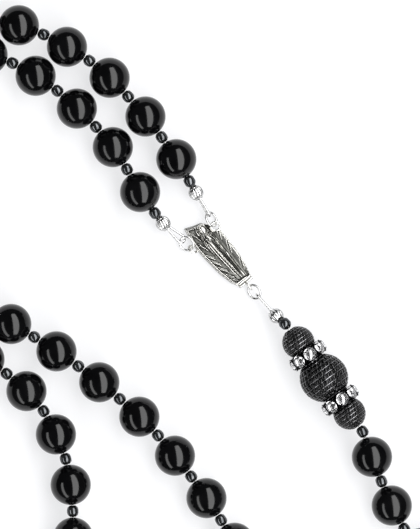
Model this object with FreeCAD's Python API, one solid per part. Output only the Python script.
import FreeCAD, Part
import math
import os

# A five-decade strand of round stone prayer beads on beading wire, lying flat.
# Lengths are in millimetres. +Z is up, and the strand rests on the plane z = 0.
# The origin is the middle of the flat back of the centre medal.

# Beads
ONYX_D = 10.0
SPACER_D = 3.0
SPACER_L = 2.8             # a little under its place on the wire, so that the strand can bend
SMALL_PAVE_D = 8.0
LARGE_PAVE_D = 12.0
ONYX_BORE = 1.2
SPACER_BORE = 1.0
PAVE_BORE = 1.8
DECADE = 10
PLAY = 0.03                 # free space between two beads on the wire
FLEX_PLAY = 0.2             # free space past a spacer at which the strand bends

# Rondelle: a metal hub between two pave beads, with crystals set round its rim
HUB_T = 0.72
HUB_R = 4.3
SETTING_T = 2.4
CRYSTAL_R = 1.38
CRYSTAL_RING_R = 3.86
CRYSTAL_SHIFT = 0.42        # crystals sit this far towards the small bead
CRYSTALS = 8
CRYSTAL_OFF_TOP = 8.0       # degrees from the top of a lying rondelle to its nearest crystal

# Wire and findings
WIRE_D = 0.45
RING_R = 1.8
RING_WIRE_R = 0.32
EAR_R = 1.1
EAR_WIRE_R = 0.3
EYE_R = 1.0                 # bend of a wire guard, at the middle of its tube
GUARD_TUBE_R = 0.32
GUARD_LEG_GAP = 0.42        # half the space between a guard's legs at the crimp
COVER_D = 3.8
COVER_BORE = 1.9
CRIMP_R = 0.75
CRIMP_L = 1.6
CRIMP_BORE = 0.5
EAR_TO_RING = 2.05          # ear middle to jump ring middle
RING_TO_EYE = 1.9           # jump ring middle to the middle of the guard's bend

# Heights of the bead axes
ONYX_Z = ONYX_D / 2
PAVE_Z = LARGE_PAVE_D / 2

# How far each jump ring and each guard is turned from lying flat, about the strand
LEFT_RING_TILT = -30.0
LEFT_GUARD_TILT = 25.0
RIGHT_RING_TILT = 50.0
RIGHT_GUARD_TILT = 104.0
TAIL_RING_TILT = 40.0
TAIL_GUARD_TILT = 93.0

# Medal, in its own frame: x across, y up the figure, turned about Z
MEDAL_TURN = 38.3
PLATE_T = 1.7
LEFT_EAR_FOLD = (0.53, -0.85, 0)
LEFT_EAR_TILT = -45.0
LOWER_EYE_R = 1.1
LEFT_EAR = (-4.3, 4.6, 1.6)
RIGHT_EAR = (3.6, 5.6, 1.6)
LOWER_EYE = (0.95, -11.1, 1.7)
SHIELD = [(-3.0, 9.9), (-0.6, 9.0), (1.0, 8.6), (2.3, 7.6), (3.9, 6.2), (3.95, 0.4),
          (3.85, -4.0), (3.35, -8.0), (3.05, -9.2), (-1.45, -9.2), (-3.0, -4.0), (-3.5, 1.6), (-3.25, 6.0)]
COLLAR = (-1.2, 3.1, -10.3, -9.0)

# Cross, in its own frame: x across, y up
CROSS_LONG = 36.0
CROSS_WIDE = 22.0
CROSS_ARM = 5.2
CROSS_T = 2.4
CROSS_NECK = 0.75           # eye middle to the top of the shaft
CROSS_ARM_Y = 7.0           # crossing, above the middle of the shaft

# Route of the wire, from the crimp beside the medal outwards. Right strand: decades 1 and 2.
RIGHT_ROUTE = [(-5.44, 14.93, 2.6), (-9.9, 22.8, 5.6), (-16.4, 32.2, 5.0), (-29.2, 46.4, 5.0),
               (-45.4, 55.6, 5.0), (-64.1, 60.2, 5.0), (-84.6, 59.2, 5.0), (-102.9, 47.3, 5.7),
               (-112.0, 27.0, 6.5), (-110.5, 5.5, 5.8), (-98.5, -11.0, 5.0), (-79.5, -18.6, 5.0),
               (-59.6, -24.2, 5.0), (-43.9, -36.2, 5.0), (-36.2, -53.0, 5.0), (-35.6, -73.0, 5.5),
               (-36.2, -96.0, 6.25)]
# Left strand: decades 5 and 4.
LEFT_ROUTE = [(-13.59, 7.34, 2.6), (-19.2, 14.4, 5.6), (-25.8, 27.0, 5.0), (-42.5, 43.0, 5.0),
              (-58.5, 50.6, 5.0), (-76.5, 49.0, 5.0), (-89.0, 36.6, 5.0), (-91.6, 18.9, 5.6),
              (-86.0, 2.6, 6.5), (-70.0, -9.0, 6.0), (-52.0, -16.6, 5.0), (-33.5, -28.3, 5.0),
              (-15.8, -43.2, 5.0), (-1.0, -62.6, 5.0), (11.5, -84.5, 5.0), (17.2, -101.5, 5.6),
              (17.8, -121.0, 6.35)]
# The middle decade's turn, from the foot of the left group, with heights
TURN_STEPS = [(-0.5, -15.5, 5.5), (-7.0, -31.4, 5.0), (-22.0, -40.6, 5.0), (-38.5, -36.8, 5.0),
              (-50.5, -22.6, 5.0), (-54.1, -3.0, 5.5)]
LEG_LENGTH = 34.4
# Tail: crimp, spacer, first group, three onyx, second group. A group's run is level with its pivots.
TAIL_START = (14.4, -15.55, 3.6)
TAIL_PIVOT_1 = (17.9, -18.7, 6.72)
TAIL_GROUP_WAY = (0.5837, -0.8114, 0.032)
GROUP_RUN = 34.4
TAIL_ONYX = 3
TAIL_BEADS_ROUTE = [(40.2, -56.2, 5.2), (45.6, -68.8, 5.0), (56.8, -78.3, 5.3)]
TAIL_END_WAY = (0.80, -0.60, 0)
TAIL_END_STEPS = [(11.0, 5.9), (22.0, 6.2), (32.5, 5.2), (39.6, 2.9)]
COVER_TO_CROSS_EYE = 8.4
CROSS_EYE_Z = 1.7


def vec(p):
    return FreeCAD.Vector(*p)


NODES = []
AXES = {}


def axis(name, at, way=(0, 0, 1)):
    """Keep and print where a moving piece's axis runs."""
    AXES[name] = (tuple(at), tuple(way))
    print(name, "at", tuple(round(v, 3) for v in at), "along", tuple(round(v, 4) for v in way))


def route_edges(points):
    """Straight runs joined by tangent arcs, each arc as large as its two runs allow."""
    points = [vec(p) for p in points]
    edges = []
    radii = []
    start = points[0]
    for before, corner, after in zip(points, points[1:], points[2:]):
        back = before - corner
        ahead = after - corner
        cut = 0.45 * min(back.Length, ahead.Length)
        back.normalize()
        ahead.normalize()
        turn = math.pi - back.getAngle(ahead)
        radius = cut / math.tan(turn / 2)
        middle = back + ahead
        middle.normalize()
        crown = corner + middle * (radius / math.cos(turn / 2) - radius)
        first = corner + back * cut
        last = corner + ahead * cut
        edges.append(Part.LineSegment(start, first).toShape())
        edges.append(Part.Arc(first, crown, last).toShape())
        radii.append(radius)
        start = last
    edges.append(Part.LineSegment(start, points[-1]).toShape())
    return edges, radii


class Line:
    """A wire's line, measured along its length."""

    def __init__(self, points):
        self.edges, self.radii = route_edges(points)
        self.length = sum(e.Length for e in self.edges)

    def at(self, s):
        """The point and the direction at distance s from the start."""
        for edge in self.edges:
            if s <= edge.Length or edge is self.edges[-1]:
                p = edge.getParameterByLength(max(0.0, min(s, edge.Length)))
                return edge.valueAt(p), edge.tangentAt(p)
            s -= edge.Length

    def seat(self, s, half):
        """Where a straight-bored bead of that half length sits, and its bore's direction."""
        a = self.at(s - half * 0.9)[0]
        b = self.at(s + half * 0.9)[0]
        middle = (a + b + self.at(s)[0] * 2) * 0.25
        way = b - a
        way.normalize()
        return middle, way

    def tube(self, first=0.0, last=None):
        """The wire itself, from one distance to another."""
        last = self.length if last is None else last
        pieces = []
        s = 0.0
        for edge in self.edges:
            a = max(first - s, 0.0)
            b = min(last - s, edge.Length)
            if b - a > 1e-6:
                curve = edge.Curve
                p = edge.getParameterByLength(a)
                q = edge.getParameterByLength(b)
                pieces.append(curve.toShape(p, q))
            s += edge.Length
        path = Part.Wire(pieces)
        start, way = self.at(first)
        section = Part.Wire(Part.makeCircle(WIRE_D / 2, start, way))
        tube = path.makePipeShell([section], True, False)
        share = tube.Volume / (math.pi * WIRE_D ** 2 / 4 * (last - first))
        print(f"wire {last - first:.1f} mm, volume over section x length {share:.4f}, radii",
              [round(r, 1) for r in self.radii])
        return tube


def placed(shape, at, way=(0, 0, 1), turn=0.0):
    """A shape made about the origin along Z, turned on its axis, then set at a point along a direction."""
    shape = shape.copy()
    spin = FreeCAD.Rotation(vec((0, 0, 1)), turn)
    aim = FreeCAD.Rotation(vec((0, 0, 1)), vec(way))
    shape.Placement = FreeCAD.Placement(vec(at), aim.multiply(spin))
    return shape


def bored(solid, diameter, length):
    return solid.cut(Part.makeCylinder(diameter / 2, length * 2, vec((0, 0, -length))))


def round_bead(diameter, bore):
    return bored(Part.makeSphere(diameter / 2), bore, diameter)


def spacer_bead():
    """A faceted drum: octagons joined by flat faces."""
    rings = []
    for z, r in ((-0.5, 0.25), (-0.22, 0.5), (0.22, 0.5), (0.5, 0.25)):
        corners = [vec((SPACER_D * r * math.cos(math.radians(45 * i)),
                        SPACER_D * r * math.sin(math.radians(45 * i)), SPACER_L * z)) for i in range(8)]
        rings.append(Part.makePolygon(corners + corners[:1]))
    return bored(Part.makeLoft(rings, True, True), SPACER_BORE, SPACER_D)


def crystal_spots():
    for i in range(CRYSTALS):
        angle = 2 * math.pi * (i + 0.5) / CRYSTALS
        yield (CRYSTAL_RING_R * math.cos(angle), CRYSTAL_RING_R * math.sin(angle))


def rondelle_setting():
    """The metal body, its large bead towards +Z: dished for both beads and pocketed for its crystals."""
    body = Part.makeCylinder(HUB_R, SETTING_T, vec((0, 0, -CRYSTAL_SHIFT - SETTING_T / 2)))
    large = HUB_T / 2 + PLAY + LARGE_PAVE_D / 2
    small = HUB_T / 2 + PLAY + SMALL_PAVE_D / 2
    body = body.cut(Part.makeSphere(LARGE_PAVE_D / 2 + PLAY, vec((0, 0, large))))
    body = body.cut(Part.makeSphere(SMALL_PAVE_D / 2 + PLAY, vec((0, 0, -small))))
    pockets = [Part.makeSphere(CRYSTAL_R, vec((x, y, -CRYSTAL_SHIFT))) for x, y in crystal_spots()]
    return bored(body.cut(pockets), PAVE_BORE, SETTING_T)


def rondelle_crystals():
    return [Part.makeSphere(CRYSTAL_R, vec((x, y, -CRYSTAL_SHIFT))) for x, y in crystal_spots()]


def torus(radius, tube, at, normal):
    return Part.makeTorus(radius, tube, vec(at), vec(normal))


def tilted(way, degrees):
    """The most upright direction square to a given one, turned about it."""
    upright = vec((0, 0, 1)) - vec(way) * vec(way).z
    return FreeCAD.Rotation(vec(way), degrees).multVec(upright.normalize())


def on_medal(p):
    """A place given in the medal's own frame."""
    return FreeCAD.Rotation(vec((0, 0, 1)), MEDAL_TURN).multVec(vec(p))


class Link:
    """An ear, a jump ring and a wire guard in a row, up to the middle of the crimp cover."""

    def __init__(self, ear, cover, ring_tilt, guard_tilt):
        self.ear = vec(ear)
        self.cover = vec(cover)
        self.way = (self.cover - self.ear).normalize()
        self.ring = self.ear + self.way * EAR_TO_RING
        self.ring_normal = tilted(self.way, ring_tilt)
        self.eye = self.ring + self.way * RING_TO_EYE
        self.guard_normal = tilted(self.way, guard_tilt)

    def jump_ring(self):
        return torus(RING_R, RING_WIRE_R, self.ring, self.ring_normal)

    def guard(self):
        """A horseshoe of tube: a bend round the jump ring, and two legs that close towards the crimp."""
        side = self.way.cross(self.guard_normal).normalize()
        length = (self.cover - self.eye).Length - COVER_D / 2
        lean = math.asin(EYE_R / math.hypot(length, GUARD_LEG_GAP)) - math.atan2(GUARD_LEG_GAP, length)
        near = side * (EYE_R * math.cos(lean)) + self.way * (EYE_R * math.sin(lean))
        far = side * (-EYE_R * math.cos(lean)) + self.way * (EYE_R * math.sin(lean))
        first = self.eye + self.way * length + side * GUARD_LEG_GAP
        last = self.eye + self.way * length - side * GUARD_LEG_GAP
        bend = Part.Arc(self.eye + near, self.eye - self.way * EYE_R, self.eye + far).toShape()
        path = Part.Wire([Part.LineSegment(first, self.eye + near).toShape(), bend,
                          Part.LineSegment(self.eye + far, last).toShape()])
        section = Part.Wire(Part.makeCircle(GUARD_TUBE_R, first, self.eye + near - first))
        return path.makePipeShell([section], True, False)

    def crimp(self):
        tube = Part.makeCylinder(CRIMP_R, CRIMP_L, vec((0, 0, -CRIMP_L / 2)))
        return placed(bored(tube, CRIMP_BORE, CRIMP_L), self.cover, self.crimp_way)

    def crimp_cover(self):
        return placed(round_bead(COVER_D, COVER_BORE), self.cover, self.crimp_way)


class String:
    """Beads put on a line one after another; each kind is kept in its own list."""

    def __init__(self, line, start):
        self.line = line
        self.s = start
        self.made = {}
        self.seats = {}

    def keep(self, kind, shape, at, way):
        self.made.setdefault(kind, []).append(shape)
        self.seats.setdefault(kind, []).append((at, way))

    def add(self, kind, bead, length):
        middle = self.s + PLAY / 2 + length / 2
        at, way = self.line.seat(middle, length / 2)
        self.keep(kind, placed(bead, at, way), at, way)
        self.s = middle + length / 2 + PLAY / 2
        return at, way

    def spacer(self):
        return self.add("spacer", SPACER, SPACER_D)

    def onyx(self):
        return self.add("onyx", ONYX, ONYX_D)

    def decade(self, count=DECADE):
        for _ in range(count):
            self.spacer()
            self.onyx()

    def group(self):
        """Small pave, rondelle, large pave, rondelle, small pave, all bearing on the large bead."""
        reach = SMALL_PAVE_D / 2 + HUB_T + LARGE_PAVE_D / 2 + 2 * PLAY
        middle = self.s + PLAY / 2 + SMALL_PAVE_D / 2 + reach
        large, way = self.line.seat(middle, LARGE_PAVE_D / 2)
        self.keep("large", placed(LARGE_PAVE, large, way), large, way)
        for sign in (-1, 1):
            small = self.line.at(middle + sign * reach)[0]
            out = (small - large).normalize()
            small = large + out * reach
            hub = large + out * (LARGE_PAVE_D / 2 + PLAY + HUB_T / 2)
            self.keep("small", placed(SMALL_PAVE, small, out), small, out)
            top = math.degrees(math.atan2(-out.y, -out.x)) + 180
            turn = top - 180 / CRYSTALS + sign * CRYSTAL_OFF_TOP
            for piece in RONDELLE:
                self.keep("rondelle", placed(piece, hub, -out, turn), hub, out)
        self.s = middle + reach + SMALL_PAVE_D / 2 + PLAY / 2

    def report(self, name):
        print(f"{name}: beads take {self.s:.2f} of {self.line.length:.2f} mm")


def medal():
    """Shield-shaped plate with a raised robed figure, two ears, a collar and a lower eye."""
    outline = Part.makePolygon([vec((x, y, 0)) for x, y in SHIELD + SHIELD[:1]])
    plate = Part.Face(outline).extrude(vec((0, 0, PLATE_T)))
    robe = []
    for y, across, half, high in ((4.9, 0.5, 1.85, 1.5), (3.0, 0.4, 1.55, 1.7), (-2.0, 0.9, 1.0, 1.3),
                                  (-8.4, 1.2, 0.4, 0.6)):
        ellipse = Part.Ellipse(vec((0, 0, 0)), max(half, high), min(half, high)).toShape()
        hoop = Part.Wire(ellipse)
        if high > half:
            hoop.rotate(vec((0, 0, 0)), vec((0, 0, 1)), 90)
        hoop.rotate(vec((0, 0, 0)), vec((1, 0, 0)), 90)
        hoop.translate(vec((across, y, PLATE_T)))
        robe.append(hoop)
    figure = Part.makeLoft(robe, True, False)
    head = Part.makeSphere(1.0, vec((0.9, 6.9, PLATE_T + 0.9)))
    hood = Part.makeSphere(1.5, vec((0.85, 6.6, PLATE_T - 0.1)))
    left, right, low, high = COLLAR
    collar = Part.makeBox(right - left, high - low, 2.6, vec((left, low, 0)))
    solid = plate.fuse([figure, head, hood, collar])
    below = Part.makeBox(40, 40, 20, vec((-20, -20, -20)))
    solid = solid.cut(below)
    solid.rotate(vec((0, 0, 0)), vec((0, 0, 1)), MEDAL_TURN)
    fold = FreeCAD.Rotation(vec(LEFT_EAR_FOLD), LEFT_EAR_TILT)
    for link, normal in ((LEFT, fold.multVec(vec((0, 0, 1)))), (RIGHT, vec((0, 0, 1)))):
        hole = placed(Part.makeCylinder(EAR_R + EAR_WIRE_R * 0.5, 8, vec((0, 0, -4))), link.ear, normal)
        solid = solid.cut(hole)
        solid = solid.fuse(torus(EAR_R, EAR_WIRE_R, link.ear, normal))
    across = on_medal((1, 0, 0))
    solid = solid.fuse(torus(LOWER_EYE_R, EAR_WIRE_R, TAIL.ear, across))
    return solid.removeSplitter()


def cross(eye, way):
    """A plain Latin cross lying flat, its head at an upright eye and its foot along a direction."""
    half = CROSS_ARM / 2
    shaft = Part.makeBox(CROSS_ARM, CROSS_LONG, CROSS_T, vec((-half, -CROSS_LONG - CROSS_NECK, 0)))
    beam = Part.makeBox(CROSS_WIDE, CROSS_ARM, CROSS_T,
                        vec((-CROSS_WIDE / 2, -CROSS_LONG / 2 - CROSS_NECK + CROSS_ARM_Y - half, 0)))
    solid = shaft.fuse(beam).removeSplitter()
    solid = solid.makeChamfer(0.5, [e for e in solid.Edges if abs(e.CenterOfMass.z - CROSS_T) < 1e-6])
    solid = solid.fuse(torus(LOWER_EYE_R, EAR_WIRE_R, (0, 0, CROSS_EYE_Z), (1, 0, 0)))
    turn = math.degrees(math.atan2(way.y, way.x)) + 90
    solid.rotate(vec((0, 0, 0)), vec((0, 0, 1)), turn)
    solid.translate(vec((eye.x, eye.y, 0)))
    return solid


def save(name, shapes):
    shapes = shapes if isinstance(shapes, list) else [shapes]
    for shape in shapes:
        for solid in shape.Solids:
            if not solid.isValid():
                print("not valid:", name)
    whole = Part.makeCompound(shapes) if len(shapes) > 1 else shapes[0]
    whole.exportStep(f"parts/{name}.step")
    NODES.append((name, sum(len(s.Solids) for s in shapes)))


os.makedirs("parts", exist_ok=True)

ONYX = round_bead(ONYX_D, ONYX_BORE)
SMALL_PAVE = round_bead(SMALL_PAVE_D, PAVE_BORE)
LARGE_PAVE = round_bead(LARGE_PAVE_D, PAVE_BORE)
SPACER = spacer_bead()
RONDELLE = [rondelle_setting()] + rondelle_crystals()
GROUP_NODES = (("small", "small_pave"), ("large", "large_pave"), ("rondelle", "rondelles"))

# The three links at the medal
LEFT = Link(on_medal(LEFT_EAR), LEFT_ROUTE[0], LEFT_RING_TILT, LEFT_GUARD_TILT)
RIGHT = Link(on_medal(RIGHT_EAR), RIGHT_ROUTE[0], RIGHT_RING_TILT, RIGHT_GUARD_TILT)
TAIL = Link(on_medal(LOWER_EYE), TAIL_START, TAIL_RING_TILT, TAIL_GUARD_TILT)
save("medal", medal())
axis("tail_swing", TAIL.ear)
axis("tail_slide", TAIL.ring, TAIL.ring_normal)

# The loop's two strands, fixed to the medal's body
loop = {}
ends = {}
for side, link, route, decades in (("right", RIGHT, RIGHT_ROUTE, (1, 2)), ("left", LEFT, LEFT_ROUTE, (5, 4))):
    line = Line(route)
    link.crimp_way = line.at(0)[1]
    beads = String(line, COVER_D / 2)
    for decade in decades:
        beads.decade()
        save(f"onyx_decade_{decade}", beads.made.pop("onyx"))
        if decade == decades[0]:
            beads.spacer()
            beads.group()
    ends[side] = beads.spacer()[0]
    beads.report(side)
    save(f"spacers_{side}", beads.made.pop("spacer"))
    save(f"wire_{side}", line.tube(0.0, beads.s - PLAY / 2))
    for kind, node in GROUP_NODES:
        loop.setdefault(node, []).extend(beads.made[kind])
    save(f"jump_ring_{side}", link.jump_ring())
    axis(f"ring_{side}_rock", link.ring, link.way)
for node, shapes in loop.items():
    save(f"{node}_loop", shapes)
save("wire_guards_loop", [LEFT.guard(), RIGHT.guard()])
save("crimps_loop", [LEFT.crimp(), RIGHT.crimp()])
save("crimp_covers_loop", [LEFT.crimp_cover(), RIGHT.crimp_cover()])

# The two groups that swing, and the middle decade that they carry
for side in ("right", "left"):
    top = ends[side]
    axis(f"leg_{side}_sway", top)
    leg = Line([top, top + vec((0, -LEG_LENGTH, 0))])
    beads = String(leg, SPACER_D / 2 + FLEX_PLAY)
    beads.group()
    foot = beads.spacer()[0]
    beads.report(f"leg {side}")
    for kind, node in GROUP_NODES + (("spacer", "spacer"),):
        save(f"{node}_leg_{side}", beads.made[kind])
    save(f"wire_leg_{side}", leg.tube(SPACER_D / 2 + PLAY, beads.s - PLAY / 2))
    ends[side] = foot
first, last = ends["left"], ends["right"]
axis("turn_level", first)
turn = Line([first] + [(first.x + x, first.y + y, z) for x, y, z in TURN_STEPS] + [last])
beads = String(turn, SPACER_D / 2 + FLEX_PLAY)
beads.onyx()
beads.decade(DECADE - 1)
beads.report("turn")
save("onyx_decade_3", beads.made["onyx"])
save("spacers_decade_3", beads.made["spacer"])
save("wire_decade_3", turn.tube(SPACER_D / 2 + PLAY, beads.s - PLAY / 2))

# The tail: a link, a spacer, the first group, three onyx, the second group, a link and the cross
top = Line([TAIL_START, TAIL_PIVOT_1])
TAIL.crimp_way = top.at(0)[1]
save("jump_ring_tail", TAIL.jump_ring())
save("wire_guard_tail", TAIL.guard())
save("crimp_tail", TAIL.crimp())
save("crimp_cover_tail", TAIL.crimp_cover())
beads = String(top, COVER_D / 2)
pivot_1 = beads.spacer()[0]
save("spacer_tail_top", beads.made["spacer"])
save("wire_tail_top", top.tube(0.0, beads.s - PLAY / 2))

axis("tail_flex_1", pivot_1)
run = vec(TAIL_GROUP_WAY)
group_line = Line([pivot_1, pivot_1 + run * GROUP_RUN])
beads = String(group_line, SPACER_D / 2 + FLEX_PLAY)
beads.group()
pivot_2, _ = beads.spacer()
beads.report("tail group")
axis("tail_flex_2", pivot_2)
axis("large_pave_spin", *beads.seats["large"][0])
save("large_pave_tail", beads.made["large"])
save("spacer_tail_group", beads.made["spacer"])
for i, small in enumerate(beads.made["small"]):
    setting, *crystals = beads.made["rondelle"][i * len(RONDELLE):(i + 1) * len(RONDELLE)]
    axis(f"small_pave_{i + 1}_spin", *beads.seats["small"][i])
    axis(f"rondelle_{i + 1}_spin", *beads.seats["rondelle"][i * len(RONDELLE)])
    save(f"small_pave_tail_{i + 1}", small)
    save(f"rondelle_tail_{i + 1}", setting)
    save(f"crystals_tail_{i + 1}", crystals)
save("wire_tail_group", group_line.tube(SPACER_D / 2 + PLAY, beads.s - PLAY / 2))

beads_line = Line([pivot_2] + TAIL_BEADS_ROUTE)
beads = String(beads_line, SPACER_D / 2 + FLEX_PLAY)
for i in range(TAIL_ONYX):
    beads.onyx()
    pivot_3, _ = beads.spacer()
beads.report("tail beads")
for i, shape in enumerate(beads.made["onyx"]):
    save(f"onyx_tail_{i + 1}", shape)
    axis(f"onyx_{i + 1}_spin", *beads.seats["onyx"][i])
save("spacers_tail_beads", beads.made["spacer"])
save("wire_tail_beads", beads_line.tube(SPACER_D / 2 + PLAY, beads.s - PLAY / 2))

axis("tail_flex_3", pivot_3)
out = vec(TAIL_END_WAY)
end_line = Line([pivot_3] + [(pivot_3.x + out.x * s, pivot_3.y + out.y * s, z) for s, z in TAIL_END_STEPS])
cover = end_line.at(end_line.length)[0]
beads = String(end_line, SPACER_D / 2 + FLEX_PLAY)
beads.group()
beads.spacer()
beads.report("tail end")
for kind, node in GROUP_NODES + (("spacer", "spacer"),):
    save(f"{node}_tail_end", beads.made[kind])
save("wire_tail_end", end_line.tube(SPACER_D / 2 + PLAY))
eye = cover + out * COVER_TO_CROSS_EYE
eye.z = CROSS_EYE_Z
END = Link(eye, cover, TAIL_RING_TILT, TAIL_GUARD_TILT)
END.crimp_way = end_line.at(end_line.length)[1]
save("wire_guard_cross", END.guard())
save("crimp_cross", END.crimp())
save("crimp_cover_cross", END.crimp_cover())
save("jump_ring_cross", END.jump_ring())
save("cross", cross(eye, out))
axis("cross_slide", END.ring, END.ring_normal)
axis("cross_swing", eye)
print(len(NODES), "nodes,", sum(count for _, count in NODES), "solids")
